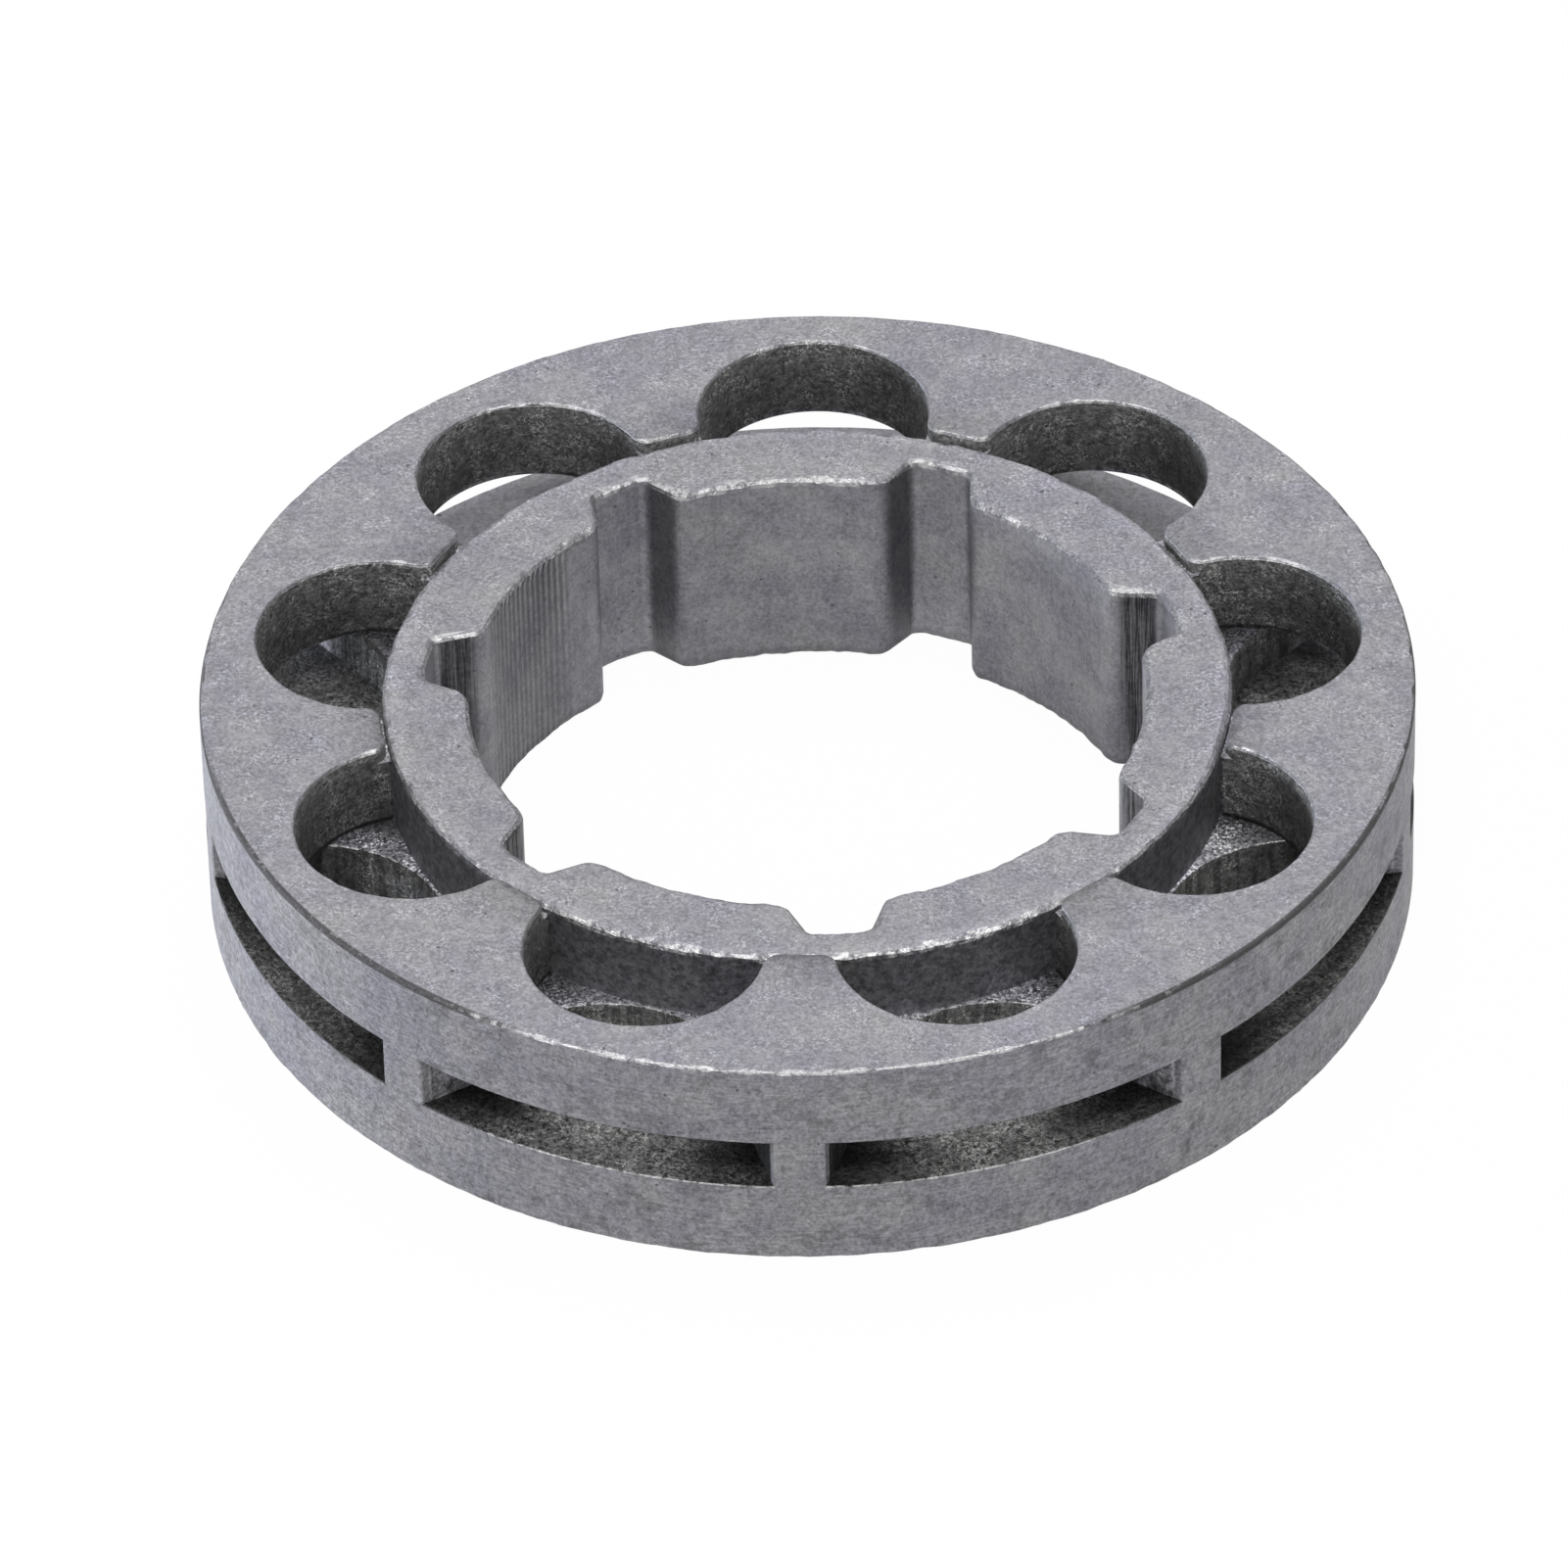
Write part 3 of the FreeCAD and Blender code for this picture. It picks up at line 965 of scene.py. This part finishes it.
class SPROCKET_OT_body(Operator):
    """Build the sprocket: nine pockets and posts around a splined hub"""
    bl_idname = "sprocket.body"
    bl_label = "Rim Sprocket"

    def execute(self, context):
        scene = context.scene
        sizes, bore, edges = scene.rim_sizes, scene.bore_sizes, scene.edge_sizes
        rim_turn = -90 + 180 / sizes.tooth_count
        bore_turn = -90 + math.degrees(bore.spline_turn)
        rim_object = linked_object("rim_sector", rim_sector(sizes))
        hub_object = linked_object("hub_sector", hub_sector_mesh(sizes, bore))
        mesh = grown(rim_object, ring_tree(), {
            "Hub Sector": hub_object, "Teeth": sizes.tooth_count, "Rim Turn": math.radians(rim_turn),
            "Grooves": bore.groove_count, "Bore Turn": math.radians(bore_turn),
            "Weld Distance": 0.002 * MM,
            "Material": sintered_steel(scene.steel_colours, sizes.tooth_count)})
        bpy.data.objects.remove(rim_object)
        bpy.data.objects.remove(hub_object)
        piece = linked_object("sprocket_steel", mesh)
        rounded(piece, sizes, edges)
        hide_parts("rim_sprocket")
        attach(piece, "root")
        return {"FINISHED"}


# The stage: places and lamp sizes in metres, powers in watts

LAMPS = {
    "key_lamp": {"place": (-0.04, -0.26, 0.46), "size": (0.16, 0.12), "power": 1.3},
    "top_lamp": {"place": (0.05, 0.16, 0.5), "size": (0.3, 0.3), "power": 1.0},
    "side_lamp": {"place": (-0.45, 0.12, 0.04), "target": (0, 0, 0.004), "size": (0.3, 0.06),
                  "power": 2.1, "colour": (0.84, 0.91, 1.0)},
}
WORLD_LIGHT = 0.3
FLOOR_LEVEL = -1e-5
FLOOR_GREY = 0.86               # what the floor throws back to the sprocket
FLOOR_WHITENESS = 0.97          # the rest of what is seen of it shows the shadow
WHITE = (1, 1, 1, 1)
CAMERA_PLACE = (9.66 * MM, -318.07 * MM, 260.52 * MM)
CAMERA_RIGHT = (0.9996, 0.0171, -0.0199)
CAMERA_FORWARD = (-0.0259, 0.7774, -0.6285)
CAMERA_SHIFT = 0.0018
SENSOR_WIDTH = 36.0


def seen_directly(w):
    """1 for rays to the camera, in gloss and through glass, and 0 for those that carry light."""
    path = w.add("ShaderNodeLightPath", output="Is Camera Ray")
    sharp = path + w.output_of(path, "Is Glossy Ray") + w.output_of(path, "Is Transmission Ray")
    return sharp.clamped()


def pale_floor(half):
    """A white floor that keeps the object's shadow and shows white to the camera and in gloss."""
    mesh = bpy.data.meshes.new("floor")
    corners = [(-half, -half), (half, -half), (half, half), (-half, half)]
    mesh.from_pydata([(x, y, FLOOR_LEVEL) for x, y in corners], [], [(0, 1, 2, 3)])
    material, w = new_material("pale_floor")
    matte = w.add("ShaderNodeBsdfDiffuse", {}, {"Color": (FLOOR_GREY, FLOOR_GREY, FLOOR_GREY, 1)})
    glow = w.add("ShaderNodeEmission", {}, {"Color": WHITE, "Strength": 1.0})
    mixed = w.add("ShaderNodeMixShader", {}, {0: seen_directly(w) * FLOOR_WHITENESS, 1: matte, 2: glow})
    w.add("ShaderNodeOutputMaterial", {}, {"Surface": mixed})
    mesh.materials.append(material)
    floor = linked_object("floor", mesh)


def soft_lamp(name, place, size, power, target=(0, 0, 0), colour=(1, 1, 1)):
    """A rectangular lamp that shines from place to target."""
    lamp = bpy.data.lights.new(name, "AREA")
    lamp.shape = "RECTANGLE"
    lamp.size, lamp.size_y = size
    lamp.energy = power
    lamp.color = colour
    made = linked_object(name, lamp)
    made.location = place
    made.rotation_euler = (Vector(target) - Vector(place)).to_track_quat("-Z", "Y").to_euler()


def studio_world():
    """A dim white world that looks full white to the camera and in gloss."""
    world = bpy.data.worlds.new("studio")
    w = emptied(world)
    light = w.add("ShaderNodeBackground", {}, {"Color": WHITE, "Strength": WORLD_LIGHT})
    white = w.add("ShaderNodeBackground", {}, {"Color": WHITE, "Strength": 1.0})
    mixed = w.add("ShaderNodeMixShader", {}, {0: seen_directly(w), 1: light, 2: white})
    w.add("ShaderNodeOutputWorld", {}, {"Surface": mixed})
    return world


def photo_camera(lens):
    """The camera stands where the photograph was taken from."""
    camera = bpy.data.cameras.new("camera")
    camera.lens = lens
    camera.sensor_width = SENSOR_WIDTH
    camera.clip_start = 0.01
    camera.dof.use_dof = False
    camera.shift_x = CAMERA_SHIFT
    made = linked_object("camera", camera)
    forward = Vector(CAMERA_FORWARD).normalized()
    down = forward.cross(Vector(CAMERA_RIGHT)).normalized()
    right = down.cross(forward).normalized()
    turned = Matrix((right, -down, -forward)).transposed()
    made.matrix_world = Matrix.Translation(CAMERA_PLACE) @ turned.to_4x4()
    return made


class SPROCKET_OT_stage(Operator):
    """Build the pale floor, the studio light and the camera"""
    bl_idname = "sprocket.stage"
    bl_label = "Stage"

    def execute(self, context):
        scene = context.scene
        pale_floor(scene.stage_sizes.floor_radius)
        scene.world = studio_world()
        for name, settings in LAMPS.items():
            soft_lamp(name, **settings)
        scene.camera = photo_camera(scene.stage_sizes.lens)
        scene.view_settings.view_transform = "Standard"
        return {"FINISHED"}


class SPROCKET_PT_panel(Panel):
    """Lists the pieces that this file builds"""
    bl_idname = "SPROCKET_PT_panel"
    bl_label = "Rim Sprocket"
    bl_space_type = "VIEW_3D"
    bl_region_type = "UI"
    bl_category = "Sprocket"

    def draw(self, context):
        for group in (context.scene.rim_sizes, context.scene.bore_sizes, context.scene.edge_sizes,
                      context.scene.steel_colours, context.scene.stage_sizes):
            box = self.layout.box()
            for name in group.__annotations__:
                box.prop(group, name)
        for operator in OPERATORS:
            self.layout.operator(operator.bl_idname)


OPERATORS = (SPROCKET_OT_body, SPROCKET_OT_stage)
GROUPS = {"rim_sizes": RimSizes, "bore_sizes": BoreSizes, "edge_sizes": EdgeSizes,
          "steel_colours": SteelColours, "stage_sizes": StageSizes}


def register():
    for group in GROUPS.values():
        bpy.utils.register_class(group)
    for name, group in GROUPS.items():
        setattr(bpy.types.Scene, name, PointerProperty(type=group))
    for item in (*OPERATORS, SPROCKET_PT_panel):
        bpy.utils.register_class(item)


def unregister():
    for item in (SPROCKET_PT_panel, *reversed(OPERATORS)):
        bpy.utils.unregister_class(item)
    for name, group in reversed(GROUPS.items()):
        delattr(bpy.types.Scene, name)
        bpy.utils.unregister_class(group)


def main():
    register()
    bpy.ops.sprocket.body()
    bpy.ops.sprocket.stage()


if __name__ == "__main__":
    main()
